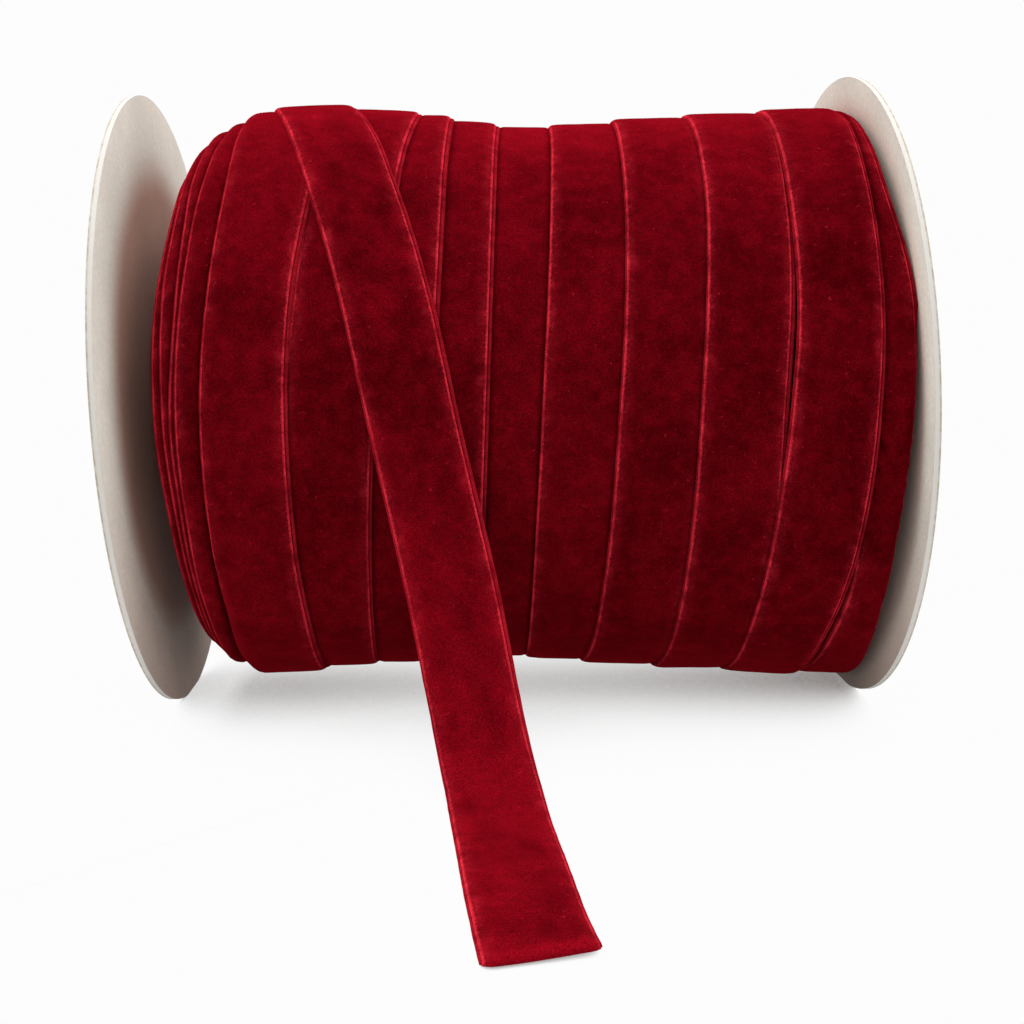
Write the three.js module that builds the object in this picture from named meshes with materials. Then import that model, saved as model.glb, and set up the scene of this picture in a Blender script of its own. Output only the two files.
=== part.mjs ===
// Roll of velvet ribbon on a board spool, with its loose end laid out in front.
// Millimetres, +Z up. The spool's axis runs along X, the loose end comes towards -Y,
// and the origin is on the surface under the middle of the whole.
import * as THREE from 'three';

// Spool boards
const LEFT_RADIUS = 88.85;
const RIGHT_RADIUS = 91.15;
const BOARD_THICKNESS = 1.6;
const BOARD_SPACING = 202.6;
const BOARD_LEAN = Math.tan(THREE.MathUtils.degToRad(2));
const FOOT_DEPTH = 0.3;
const BOARD_STEPS = 120;
const SPOOL_SETBACK = 51.9;

// Ribbon
const RIBBON_WIDTH = 22;
const RIBBON_THICKNESS = 1.2;
const GAP = 0.3;
const SEAT_GAP = 0.42;

// Winding: the height of its axis half way between the boards, and its fall to the right
const AXIS_HEIGHT = 90.35;
const BARREL_FALL = Math.tan(THREE.MathUtils.degToRad(1.35));
const LEFT_FOOT = 28;
const RIGHT_FOOT = 62;
const LIP = 0.4;
const TURN_STEPS = 64;

// One turn runs from behind the bottom, up the back, over the top and down the front.
// Angles are 0 at the front, 90 at the top, 180 at the back.
const START_ANGLE = 264;
const TURN_ANGLE = 360;
const TOP_AT = turnShare(84);
const FRONT_AT = turnShare(0);
const BOTTOM_AT = turnShare(-76);

// Ribbon edges that step, from left to right. front is the edge's place along the axis
// at the front; top and bottom give its place there and the radii left and right of it.
// An edge marked ring closes on itself. The others run on as a helix: after one turn
// each becomes the next edge on its left.
const EDGES = [
  { name: 'stack1', ring: true, front: -90.4, top: [-86, LEFT_FOOT, 67], bottom: [-88.6, LEFT_FOOT, 77] },
  { name: 'stack2', ring: true, front: -88.4, top: [-82.4, 67.2, 71.5], bottom: [-87.0, 77.2, 78.8] },
  { name: 'stack3', ring: true, front: -86.6, top: [-78.4, 71.7, 74.6], bottom: [-85.6, 79.0, 80.4] },
  { name: 'stack4', ring: true, front: -84.4, top: [-74.0, 74.8, 77.0], bottom: [-84.2, 80.6, 82.0] },
  { name: 'turn1 left', front: -77.6, top: [-67.4, 77.4, 79.8], bottom: [-81.2, 82.4, 85.0] },
  { name: 'turn1 right', front: -56.4, top: [-44.6, 82.2, 81.8], bottom: [-57.4, 83.8, 82.4] },
  { name: 'turn2 right', front: -35.2, top: [-21.6, 81.6, 80.5], bottom: [-41.9, 81.8, 81.1] },
  { name: 'turn3 right', front: -20.2, top: [-12.6, 80.7, 79.5], bottom: [-28.0, 80.9, 80.0] },
  { name: 'turn4 right', front: -7.0, top: [0.4, 78.8, 77.8], bottom: [-13.4, 79.7, 79.0] },
  { name: 'turn5 left', front: 6.5, top: [15.1, 77.9, 78.7], bottom: [1.5, 78.8, 79.6] },
  { name: 'turn6 left', front: 25.9, top: [33.6, 79.4, 80.5], bottom: [18.2, 79.8, 80.8] },
  { name: 'turn7 left', front: 46.0, top: [54.4, 81.6, 82.4], bottom: [39.8, 81.1, 82.1] },
  { name: 'turn8 left', front: 68.4, top: [76.3, 83.2, 84.1], bottom: [60.6, 81.9, 82.7] },
  { name: 'turn8 right', front: 90.3, top: [97.5, 85.0, 84.2], bottom: [81.8, 83.9, 83.2] },
  { name: 'turn9 right', ring: true, front: 99.3, top: [98.8, 84.2, RIGHT_FOOT], bottom: [94, 83.2, RIGHT_FOOT] },
];

// Loose end: where its middle lies along the axis at angles round the winding, and
// then the route of its underside's middle (x, y from the spool's axis, z) down to the
// surface and out over it.
const LAID_ROUTE = [
  { angle: 262, middle: -70.1 },
  { angle: 215, middle: -67.5 },
  { angle: 170, middle: -64.0 },
  { angle: 125, middle: -59.0 },
  { angle: 84, middle: -52.6 },
  { angle: 50, middle: -41.5 },
  { angle: 20, middle: -31.2 },
  { angle: 0, middle: -26.2 },
];
const LAID_STEPS = 62;
const SEAT_REACH = 3;
const SEAT_STEP = 0.5;
const FREE_ROUTE = [
  [-16.3, -87.6, 46],
  [-11.8, -92.6, 22.5],
  [-9.1, -98.8, 9.5],
  [-6.9, -110, 2.4],
  [-5.6, -124, 0],
  [-3.4, -154, 0],
  [-1.1, -182, 0],
  [0.1, -193.88, 0],
];
const FREE_STEPS = 26;
const SECTION_STEPS = 4;

const boardMaterial = new THREE.MeshStandardMaterial({ color: 0xcfc5b8, roughness: 0.9, metalness: 0 });
const velvetMaterial = new THREE.MeshStandardMaterial({ color: 0x7a0518, roughness: 0.95, metalness: 0 });
const looseMaterial = new THREE.MeshStandardMaterial({ color: 0x8c0a20, roughness: 0.95, metalness: 0 });

function turnShare(angle) {
  return (START_ANGLE - angle) / TURN_ANGLE;
}

// Smooth value at a place between uneven stations
function alongStations(places, values, place) {
  const last = places.length - 1;
  let i = 0;
  while (i < last - 1 && place > places[i + 1]) i += 1;
  const slope = (j) => {
    const a = Math.max(j - 1, 0);
    const b = Math.min(j + 1, last);
    return (values[b] - values[a]) / (places[b] - places[a]);
  };
  const span = places[i + 1] - places[i];
  const u = THREE.MathUtils.clamp((place - places[i]) / span, 0, 1);
  const u2 = u * u;
  const u3 = u2 * u;
  return (
    (2 * u3 - 3 * u2 + 1) * values[i] +
    (u3 - 2 * u2 + u) * span * slope(i) +
    (3 * u2 - 2 * u3) * values[i + 1] +
    (u3 - u2) * span * slope(i + 1)
  );
}

// A helix edge starts where its right neighbour ended and ends where its left one starts
function stationsOf(index, stations) {
  const row = EDGES[index];
  const before = row.ring ? row : EDGES[index + 1];
  const after = row.ring ? row : EDGES[index - 1];
  const b = stations(before);
  const r = stations(row);
  const a = stations(after);
  const places = [FRONT_AT - 1, BOTTOM_AT - 1, TOP_AT, FRONT_AT, BOTTOM_AT, TOP_AT + 1, FRONT_AT + 1];
  const values = [b[1], b[2], r[0], r[1], r[2], a[0], a[1]];
  return { places, values };
}

function edgeAt(index, share) {
  const place = stationsOf(index, (row) => [row.top[0], row.front, row.bottom[0]]);
  const radius = (side) => stationsOf(index, (row) => {
    const top = row.top[side];
    const bottom = row.bottom[side];
    return [top, (top + bottom) / 2, bottom];
  });
  const left = radius(1);
  const right = radius(2);
  return {
    place: alongStations(place.places, place.values, share),
    left: alongStations(left.places, left.values, share),
    right: alongStations(right.places, right.values, share),
  };
}

// From a place along the winding's axis, an angle and a radius to a point
function windingPoint(place, angle, radius) {
  const a = THREE.MathUtils.degToRad(angle);
  const z = AXIS_HEIGHT - BARREL_FALL * place + radius * Math.sin(a);
  return new THREE.Vector3(place - BOARD_LEAN * (z - AXIS_HEIGHT), -radius * Math.cos(a), z);
}

// The winding's section at one share of the turn, as [place, radius] from left to right.
// Where two edges meet, the right one starts just after the left one.
function windingSection(share) {
  const end = BOARD_SPACING / 2 - GAP;
  const section = [[-end, LEFT_FOOT]];
  EDGES.forEach((row, index) => {
    const edge = edgeAt(index, share);
    const lip = Math.max(edge.place - LIP, section.at(-1)[0] + LIP / 2);
    section.push([lip, edge.left], [lip + 2 * LIP, edge.right]);
  });
  section.push([end, RIGHT_FOOT]);
  return section;
}

// One board: a disc with a small flat foot, sheared so that it leans with the roll
function makeBoard(side, radius) {
  const height = radius - FOOT_DEPTH;
  const footAngle = -Math.acos(Math.sqrt(radius ** 2 - height ** 2) / radius);
  const outline = new THREE.Shape();
  outline.absarc(0, 0, radius, footAngle, Math.PI - footAngle, false);
  outline.closePath();
  const board = new THREE.ExtrudeGeometry(outline, {
    depth: BOARD_THICKNESS,
    bevelEnabled: false,
    curveSegments: BOARD_STEPS,
  });
  const inner = side * BOARD_SPACING / 2;
  const start = side > 0 ? inner : inner - BOARD_THICKNESS;
  const points = board.attributes.position;
  for (let i = 0; i < points.count; i += 1) {
    const across = points.getX(i);
    const up = points.getY(i);
    points.setXYZ(i, start + points.getZ(i) - BOARD_LEAN * up, across, height + up);
  }
  return board;
}

// The wound ribbon as one solid: rings of points round the axis, joined after one turn
// to the edges' next places, so that the stepped edges run round as a helix
function makeWinding() {
  const lips = EDGES.length * 2;
  const width = lips + 2;
  const firstHelix = EDGES.findIndex((row) => !row.ring);
  const lastHelix = EDGES.findLastIndex((row) => !row.ring);
  const position = [];
  for (let step = 0; step < TURN_STEPS; step += 1) {
    const share = step / TURN_STEPS;
    for (const [place, radius] of windingSection(share)) {
      position.push(...windingPoint(place, START_ANGLE - TURN_ANGLE * share, radius));
    }
  }
  const ends = [-1, 1].map((side) => {
    position.push(...windingPoint(side * (BOARD_SPACING / 2 - GAP), 0, 0));
    return position.length / 3 - 1;
  });
  const lipColumn = (edge, side) => 1 + edge * 2 + side;
  const pointAt = (step, column) => {
    const edge = Math.floor((column - 1) / 2);
    const side = (column - 1) % 2;
    const isHelix = column > 0 && column <= lips && !EDGES[edge].ring;
    if (step === 0 && isHelix && edge === lastHelix) return lipColumn(edge + 1, 0);
    if (step < TURN_STEPS) return step * width + column;
    if (!isHelix) return column;
    if (edge === firstHelix) return lipColumn(edge - 1, 1);
    return lipColumn(edge - 1, side);
  };
  const index = [];
  const addTriangle = (a, b, c) => {
    if (a !== b && b !== c && c !== a) index.push(a, b, c);
  };
  for (let step = 0; step < TURN_STEPS; step += 1) {
    for (let column = 0; column < width - 1; column += 1) {
      const a = pointAt(step, column);
      const b = pointAt(step, column + 1);
      const c = pointAt(step + 1, column + 1);
      const d = pointAt(step + 1, column);
      addTriangle(a, c, b);
      addTriangle(a, d, c);
    }
    addTriangle(ends[0], pointAt(step + 1, 0), pointAt(step, 0));
    addTriangle(ends[1], pointAt(step, width - 1), pointAt(step + 1, width - 1));
  }
  const winding = new THREE.BufferGeometry();
  winding.setAttribute('position', new THREE.Float32BufferAttribute(position, 3));
  winding.setIndex(index);
  return winding;
}

// Radius of the winding's surface at a place in one section
function sectionRadius(section, place) {
  const i = section.findIndex((point) => point[0] > place);
  const [p0, r0] = section[i - 1];
  const [p1, r1] = section[i];
  return r0 + (r1 - r0) * (place - p0) / (p1 - p0);
}

// One station of the loose end on the winding: a straight section laid on the steps
// that it crosses here and just before and behind
function laidStation(middle, angle) {
  const half = RIBBON_WIDTH / 2;
  const samples = [];
  for (const near of [angle - SEAT_REACH, angle, angle + SEAT_REACH]) {
    const share = turnShare(near);
    const section = windingSection(share - Math.floor(share));
    for (let place = -half; place <= half; place += SEAT_STEP) {
      samples.push([place, sectionRadius(section, middle + place)]);
    }
  }
  const meanOf = (from, to) => {
    const part = samples.filter(([place]) => place >= from && place <= to);
    return part.reduce((sum, [, radius]) => sum + radius, 0) / part.length;
  };
  const tilt = (meanOf(half / 2, half) - meanOf(-half, -half / 2)) / (half * 1.5);
  const seat = Math.max(...samples.map(([place, radius]) => radius - tilt * place));
  const radius = seat + SEAT_GAP + RIBBON_THICKNESS / 2;
  const centre = windingPoint(middle, angle, radius);
  const level = windingPoint(middle + 1, angle, radius + tilt).sub(centre);
  return { centre, level };
}

function laidStations() {
  const angles = LAID_ROUTE.map((row) => -row.angle);
  const middles = LAID_ROUTE.map((row) => row.middle);
  const stations = [];
  for (let step = 0; step <= LAID_STEPS; step += 1) {
    const angle = THREE.MathUtils.lerp(angles[0], angles.at(-1), step / LAID_STEPS);
    stations.push(laidStation(alongStations(angles, middles, angle), -angle));
  }
  return stations;
}

// The free stretch hangs from the winding's front and lies out on the surface
function freeStations(laid) {
  const rest = RIBBON_THICKNESS / 2;
  const route = [laid.at(-2).centre, laid.at(-1).centre];
  route.push(...FREE_ROUTE.map(([x, y, z]) => new THREE.Vector3(x, y, z + rest)));
  const curve = new THREE.CatmullRomCurve3(route, false, 'centripetal');
  const from = 1 / (route.length - 1);
  const stations = [];
  for (let step = 1; step <= FREE_STEPS; step += 1) {
    const t = THREE.MathUtils.lerp(from, 1, step / FREE_STEPS);
    const centre = curve.getPoint(t);
    centre.z = Math.max(centre.z, rest);
    stations.push({ centre, level: new THREE.Vector3(1, 0, 0) });
  }
  return stations;
}

// The loose end: a flat section carried along its stations
function makeLooseEnd() {
  const laid = laidStations();
  const stations = [...laid, ...freeStations(laid)];
  const last = stations.length - 1;
  const strip = new THREE.BoxGeometry(1, 1, last, SECTION_STEPS, 1, last);
  const points = strip.attributes.position;
  const frames = stations.map(({ centre, level }, i) => {
    const before = stations[Math.max(i - 1, 0)].centre;
    const after = stations[Math.min(i + 1, last)].centre;
    const along = after.clone().sub(before).normalize();
    const normal = along.clone().cross(level).normalize();
    const across = normal.clone().cross(along);
    return { centre, across, normal };
  });
  for (let i = 0; i < points.count; i += 1) {
    const { centre, across, normal } = frames[Math.round(points.getZ(i) + last / 2)];
    const point = centre.clone();
    point.addScaledVector(across, points.getX(i) * RIBBON_WIDTH);
    point.addScaledVector(normal, points.getY(i) * RIBBON_THICKNESS);
    points.setXYZ(i, point.x, point.y, Math.max(point.z, 0));
  }
  return strip;
}

function addPart(group, name, geometry, material) {
  const mesh = new THREE.Mesh(geometry, material);
  mesh.name = name;
  group.add(mesh);
}

const roll = new THREE.Group();
roll.position.y = SPOOL_SETBACK;
addPart(roll, 'board_left', makeBoard(-1, LEFT_RADIUS), boardMaterial);
addPart(roll, 'board_right', makeBoard(1, RIGHT_RADIUS), boardMaterial);
addPart(roll, 'wound_ribbon', makeWinding(), velvetMaterial);
addPart(roll, 'loose_end', makeLooseEnd(), looseMaterial);

export default roll;
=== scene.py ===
"""Dresses the roll of velvet ribbon: boards, wound turns, loose end and stage."""
import math

import bmesh
import bpy
from mathutils import Matrix, Vector, noise


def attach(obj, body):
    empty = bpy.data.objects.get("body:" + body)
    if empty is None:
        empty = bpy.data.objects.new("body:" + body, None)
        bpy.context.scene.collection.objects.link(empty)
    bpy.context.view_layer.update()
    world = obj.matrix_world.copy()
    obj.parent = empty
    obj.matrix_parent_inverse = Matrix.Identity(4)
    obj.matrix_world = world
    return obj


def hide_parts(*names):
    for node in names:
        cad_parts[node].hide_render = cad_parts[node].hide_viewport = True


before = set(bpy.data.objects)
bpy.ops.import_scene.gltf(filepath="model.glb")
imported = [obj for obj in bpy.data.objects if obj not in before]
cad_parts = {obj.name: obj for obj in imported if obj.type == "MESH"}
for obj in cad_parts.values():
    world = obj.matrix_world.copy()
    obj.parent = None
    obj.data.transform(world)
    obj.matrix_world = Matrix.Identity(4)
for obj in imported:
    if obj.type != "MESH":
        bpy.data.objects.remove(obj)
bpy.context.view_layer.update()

bl_info = {
    "name": "Velvet ribbon roll",
    "version": (1, 0, 0),
    "blender": (4, 5, 0),
    "location": "3D View > Sidebar > Ribbon",
    "description": "Winds velvet ribbon on a board spool and lays out its loose end",
    "category": "Object",
}

MM = 0.001

# Spool, as in the solid model, in millimetres
SETBACK = 51.9
SPACING = 202.6
BOARD_THICK = 1.6
BOARD_HEIGHTS = {"board_left": 88.55, "board_right": 90.85}
AXIS_HEIGHT = 90.35
LEAN = math.tan(math.radians(2))
FALL = math.tan(math.radians(1.35))
FOOT_DEPTH = 0.3
RIBBON = 22.0

# Angles round the winding: 0 at the front, 90 at the top, 180 at the back. A turn runs
# from behind the bottom, up the back, over the top and down the front.
START_ANGLE = 264.0
STATIONS = (84, 45, 20, 0, -25, -50, -76)

# Ribbon turns from right to left: the places of both edges at the station angles, and
# the radii of the pile's face at the left and right edge, at the top and at the bottom.
TURNS = {
    "turn9": (
        (76.0, 76.0, 78.6, 79.6, 86.6, 84.4, 82.8),
        (100.6, 98.8, 100.9, 98.7, 96.2, 96.2, 98.8),
        (83.4, 84.5), (82.9, 83.4),
    ),
    "turn8": (
        (76.2, 73.4, 71.6, 68.3, 64.2, 61.4, 60.6),
        (97.5, 94.3, 92.6, 90.2, 86.5, 82.3, 81.8),
        (84.1, 85.0), (82.7, 83.9),
    ),
    "turn7": (
        (54.3, 52.1, 48.8, 45.9, 43.4, 41.5, 39.8),
        (76.6, 73.3, 70.4, 67.3, 65.3, 63.5, 61.8),
        (82.4, 83.2), (82.1, 81.9),
    ),
    "turn6": (
        (33.4, 31.3, 28.7, 25.8, 22.8, 20.4, 18.3),
        (55.4, 53.3, 50.7, 47.8, 44.8, 42.4, 40.3),
        (80.5, 81.6), (80.8, 81.1),
    ),
    "turn5": (
        (15.0, 12.2, 9.1, 6.5, 3.9, 2.2, 1.6),
        (37.0, 34.2, 31.1, 28.5, 25.9, 24.2, 23.6),
        (78.7, 79.4), (79.6, 79.8),
    ),
    "middle": (
        (-3.2, -6.2, -9.0, -11.3, -13.8, -15.6, -17.0),
        (18.8, 15.8, 13.0, 10.7, 8.2, 6.4, 5.0),
        (77.7, 77.9), (79.0, 78.8),
    ),
    "turn4": (
        (-21.5, -24.4, -26.9, -29.0, -31.4, -33.4, -35.4),
        (0.5, -2.4, -4.9, -7.0, -9.4, -11.4, -13.4),
        (79.5, 78.8), (80.0, 79.7),
    ),
    "turn3": (
        (-34.6, -37.4, -40.1, -42.3, -45.2, -47.8, -50.0),
        (-12.6, -15.4, -18.1, -20.3, -23.2, -25.8, -28.0),
        (80.4, 80.7), (81.2, 80.9),
    ),
    "turn2": (
        (-44.6, -49.4, -53.6, -57.2, -60.4, -62.5, -63.8),
        (-21.6, -27.2, -31.4, -35.0, -38.3, -40.4, -41.7),
        (81.8, 81.6), (82.5, 81.8),
    ),
    "turn1": (
        (-69.6, -71.3, -74.9, -77.8, -79.0, -79.6, -81.2),
        (-44.6, -48.6, -54.2, -56.6, -57.4, -57.0, -57.3),
        (80.2, 82.2), (84.8, 83.8),
    ),
}

# How much more or less the pile of each turn above is brushed up
BRUSHED = (0.0, -0.08, 0.0, 0.0, 0.02, 0.09, 0.05, 0.0, 0.02, 0.10)

# Which turns of the long ribbon, counted from 0, lie under their right neighbour and
# which lie under their left one
UNDER_RIGHT = (2, 5.95)
UNDER_LEFT = ((-1, 0.95), (5.05, 8.95))

# Stacked turns against the left board, closed rings: left edge at the station angles, and
# the radii of the pile's face at the left and right edge, at the top and at the bottom
STACK = {
    "stack4": ((-75.2, -78.3, -82.1, -84.4, -84.7, -84.4, -84.2), (77.2, 78.4), (81.6, 82.0)),
    "stack3": ((-79.6, -81.8, -83.6, -86.2, -86.3, -86.0, -85.6), (74.8, 76.6), (80.2, 80.6)),
    "stack2": ((-83.0, -85.0, -87.6, -88.6, -88.2, -87.6, -87.2), (71.6, 74.5), (78.6, 79.2)),
    "stack1": ((-86.0, -87.4, -90.2, -91.3, -90.6, -89.8, -89.0), (67.0, 71.0), (76.8, 77.6)),
}

# Middle of the loose end on the winding: angle and place
LAID = (
    (262, -70.1), (215, -67.5), (170, -64.0), (125, -59.0), (84, -52.6),
    (50, -41.5), (20, -31.2), (0, -26.2),
)
SEAM_ANGLE = LAID[0][0]

# Middle of its underside through the air and out over the surface: x, y from the
# spool's axis, and height
FREE = (
    (-16.3, -87.6, 46.0), (-11.8, -92.6, 22.5), (-9.1, -98.8, 9.5), (-6.9, -110.0, 2.6),
    (-5.6, -124.0, 0.3), (-3.4, -154.0, 0.2), (-1.1, -182.0, 0.2), (0.1, -193.9, 0.2),
)

# How far the loose end's pile is brushed up, with painted light on the stretch that bends
# down to the surface: millimetres from its cut end, and share
LOOSE_NAP_AND_PAINTED_LIGHT = (
    (0, 1.1), (1.6, 0.9), (3.4, 0.4), (8, 0.22), (24, 0.4), (50, 0.36), (80, 0.66),
    (100, 0.62), (128, 0.42), (165, 0.14), (200, 0.05), (600, 0.05),
)

# Left half of the ribbon's cross-section: place across it and height over its underside.
# The first HEM millimetres are the thin woven hem, and the rounded pile follows.
HALF_SECTION = (
    (0.0, 0.05), (0.12, 0.42), (0.4, 0.55), (0.72, 0.5), (0.92, 0.34), (1.04, 0.5),
    (1.18, 0.88), (1.45, 1.12), (1.95, 1.26), (2.7, 1.35), (3.6, 1.4), (4.6, 1.42),
    (5.7, 1.43), (6.8, 1.44), (7.9, 1.44), (9.0, 1.44), (10.0, 1.44),
)
SECTION = HALF_SECTION + tuple((RIBBON - x, h) for x, h in reversed(HALF_SECTION))
HEM = 1.0
PILE_HEIGHT = 1.44
UNDERSIDE = 0.45

# How wide the left and right hem show, on the winding and where the ribbon lies flat.
# They change over this stretch, in millimetres from the cut end.
WOUND_HEMS = (0.25, 1.0)
FLAT_HEMS = (0.25, 0.4)
HEM_CHANGE = (60, 150)

# Pressing of the pile by the turn and by the loose end that cover it, the shade of the
# loose end, how deep its start is tucked in at the seam, how far past its edges a turn
# still carries it, and the rounding and hanging of the outermost turns
TURN_PRESS = 0.6
LOOSE_PRESS = 0.7
LOOSE_SHADE = 0.75
SEAM_TUCK = 1.3
EDGE_MARGIN = 0.6
SHOULDER = 0.35
SHOULDER_WIDTH = 1.6
HANG = 3.4
BOARD_BEND = 2.6

# Lengths and numbers of steps along the ribbon
TURN_LENGTH = 520.0
TURN_STEPS = 90
CORE_STEPS = 72
LAID_STEPS = 100
FREE_STEPS = 60

# Cut end: distances of its last rows from the cut, radius of its corners, slant of the
# cut and lift of its right corner with how far back they reach, and its rounded face
END_ROWS = (4.0, 2.8, 1.9, 1.2, 0.7, 0.3, 0.0)
CORNER = 2.2
SLANT = 2.6
SLANT_REACH = 26
LIFT = 0.7
LIFT_REACH = 24
CUT_ROUND = 1.1
CUT_HEIGHT = 0.12

# Unevenness of an edge, slow and quick: length of a wave, and share of the edge wander.
# The quick one has its own place in the noise.
EDGE_WAVES = ((31.0, 1.1, 0.0), (4.3, 0.55, 7.0))

# Dents of the pile's face: their spread along the axis, and the depths of the wide and
# the small ones
DENT_SPREAD = 14.0
WIDE_DENT = 0.10
SMALL_DENT = 0.05

# Cross threads of the hem in one ribbon width
HEM_THREADS = 48

# Share of the light that gets to the layers under the turns
UNDER_LIGHT = 0.35

# How fine the unevenness of each material is: scales of its noise for each metre
VELVET_NOISE = {
    "bruise": 48.0,
    "scuff": 105.0,
    "patchy": 170.0,
    "rubbed": 230.0,
    "cloud": 260.0,
    "rare": 640.0,
    "curl": 760.0,
    "frosted": 1700.0,
    "ragged": 1900.0,
    "grain": 3000.0,
}
PAPER_NOISE = {"cloud": 45.0, "torn": 520.0, "grain": 900.0}

# Shade of the winding on each board: where it begins to fade and where it ends, in
# metres from the board's middle, and its strength
BOARD_SHADE = {
    "board_left": (0.060, 0.079, 1.0),
    "board_right": (0.080, 0.0895, 0.45),
}

# Stage, in metres: half the floor's side, how far contact shade reaches, and each
# light's place, aim and size
FLOOR_HALF = 30.0
CONTACT_REACH = 0.07
LIGHTS = {
    "overhead": ((0.0, 0.0, 1.3), (0.0, 0.02, 0.0), (1.5, 1.2)),
    "front": ((-0.2, -1.3, 0.75), (0.0, 0.0, 0.08), (0.9, 0.7)),
}

# Camera: place in metres, turns in radians, focal length in pixels of the picture
CAMERA = {
    "place": (-0.01236, -0.38322, 0.11614),
    "yaw": -0.0310,
    "pitch": 0.1420,
    "roll": -0.0071,
    "pixels": 1431.2,
}
IMAGE_SIDE = 1024
SENSOR = 36


def colour(name, description, default):
    """A colour that the user can change."""
    return bpy.props.FloatVectorProperty(
        name=name, description=description, default=default, subtype="COLOR",
        size=4, min=0.0, max=1.0,
    )


def length(name, description, default):
    """A length in metres that the user can change."""
    return bpy.props.FloatProperty(
        name=name, description=description, default=default, subtype="DISTANCE",
        unit="LENGTH", min=0.0,
    )


class RIBBON_PG_velvet(bpy.types.PropertyGroup):
    """Velvet of the wound turns and the loose end."""

    deep: colour("Deep pile", "Pile seen straight on", (0.046, 0.0003, 0.0015, 1.0))
    # this colour also carries painted light over the top of the winding, underneath and along the
    # loose end's bend
    bright: colour("Brushed pile", "Pile brushed against its nap", (0.165, 0.0015, 0.0056, 1.0))
    # this colour also paints the highlight along the pile's edges and on the hems
    edge: colour("Pile edge", "Fibre tips along the pile's edges", (0.60, 0.024, 0.042, 1.0))
    fray: length("Edge wander", "How far the ribbon's edges wander", 0.00018)


class RIBBON_PG_boards(bpy.types.PropertyGroup):
    """Board spool."""

    face: colour("Face paper", "Paper on the boards' faces", (0.79, 0.77, 0.675, 1.0))
    # painted shade: the paper takes this colour towards the winding and the bottom
    shade: colour("Handled paper", "Paper towards the winding", (0.53, 0.29, 0.22, 1.0))
    rim: colour("Cut rim", "Cut edge of the boards", (0.52, 0.503, 0.47, 1.0))
    line: colour("Torn line", "Brown line where the papers end", (0.34, 0.27, 0.19, 1.0))


class RIBBON_PG_stage(bpy.types.PropertyGroup):
    """Floor, lights and camera."""

    floor: colour("Floor", "How much light the floor throws back", (0.8, 0.8, 0.8, 1.0))
    surround: bpy.props.FloatProperty(
        name="Surround", description="Strength of the even light from all round",
        default=0.8, min=0.0,
    )
    overhead: bpy.props.FloatProperty(
        name="Overhead light", description="Power of the large light overhead",
        default=24.0, unit="POWER", min=0.0,
    )
    front: bpy.props.FloatProperty(
        name="Front light", description="Power of the soft light by the camera",
        default=1.2, unit="POWER", min=0.0,
    )


# Winding

def share_of(angle):
    """Share of a turn that is wound at an angle."""
    return (START_ANGLE - angle) / 360


def smooth_at(places, values, place):
    """Smooth value at a place between uneven stations."""
    last = len(places) - 1
    i = 0
    while i < last - 1 and place > places[i + 1]:
        i += 1

    def slope(j):
        a, b = max(j - 1, 0), min(j + 1, last)
        return (values[b] - values[a]) / (places[b] - places[a])

    span = places[i + 1] - places[i]
    u = min(max((place - places[i]) / span, 0), 1)
    return (
        (2 * u**3 - 3 * u**2 + 1) * values[i]
        + (u**3 - 2 * u**2 + u) * span * slope(i)
        + (3 * u**2 - 2 * u**3) * values[i + 1]
        + (u**3 - u**2) * span * slope(i + 1)
    )


def ramp(value, low, high):
    """0 below low, 1 above high, smooth between."""
    u = min(max((value - low) / (high - low), 0), 1)
    return u * u * (3 - 2 * u)


def winding_point(place, angle, radius):
    """A point from its place along the winding's axis, its angle and its radius."""
    a = math.radians(angle)
    z = AXIS_HEIGHT - FALL * place + radius * math.sin(a)
    return Vector((place - LEAN * (z - AXIS_HEIGHT), SETBACK - radius * math.cos(a), z))


class Edges:
    """Both edges of a ribbon along its turns: places, and radii of the pile's face."""

    def __init__(self, rows, closed):
        self.places = []
        self.values = [[], [], [], []]
        shares = [share_of(a) for a in STATIONS]
        top, bottom = shares[0], shares[-1]
        turns = range(-1, 2) if closed else range(len(rows))
        for turn in turns:
            left, right, at_top, at_bottom = rows[0 if closed else turn]
            for i, share in enumerate(shares):
                down = (share - top) / (bottom - top)
                self.places.append(turn + share)
                self.values[0].append(left[i])
                self.values[1].append(right[i])
                for side in (0, 1):
                    radius = at_top[side] + (at_bottom[side] - at_top[side]) * down
                    self.values[2 + side].append(radius)

    def at(self, turn):
        """Left place, right place, left radius and right radius."""
        return [smooth_at(self.places, v, turn) for v in self.values]


def wound_edges():
    """Edges of the long ribbon that makes the wound turns."""
    return Edges(list(TURNS.values()), closed=False)


def near(value, low, high, blur=0.15):
    """1 between low and high, fading to 0 over blur outside."""
    return ramp(value, low - blur, low) * (1 - ramp(value, high, high + blur))


def depth_under(edges, turn, place):
    """How far a place lies under each ribbon that covers it, and how fully that counts."""
    found = []
    right_cover = near(turn, *UNDER_RIGHT)
    if right_cover:
        found.append((place - edges.at(turn - 1)[0], right_cover))
    left_cover = max(near(turn, low, high) for low, high in UNDER_LEFT)
    if left_cover:
        found.append((edges.at(turn + 1)[1] - place, left_cover))
    return found


def under_loose_end(place, angle):
    """Shares of shade and of pressing that the loose end laid over a place gives it."""
    if angle % 360 >= SEAM_ANGLE:
        return 0.0, 0.0
    angles = [-at for at, _ in LAID]
    middle = smooth_at(angles, [place_at for _, place_at in LAID], -(angle % 360))
    inside = RIBBON / 2 - abs(place - middle)
    return ramp(inside, -1.4, 0.3), ramp(inside, -0.6, 0.8)


def wander(along, seed, size):
    """Unevenness of a ribbon's edge, in millimetres."""
    off = 0.0
    for wave, share, place in EDGE_WAVES:
        off += share * noise.noise(Vector((along / wave, seed, place)))
    return size * off


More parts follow.
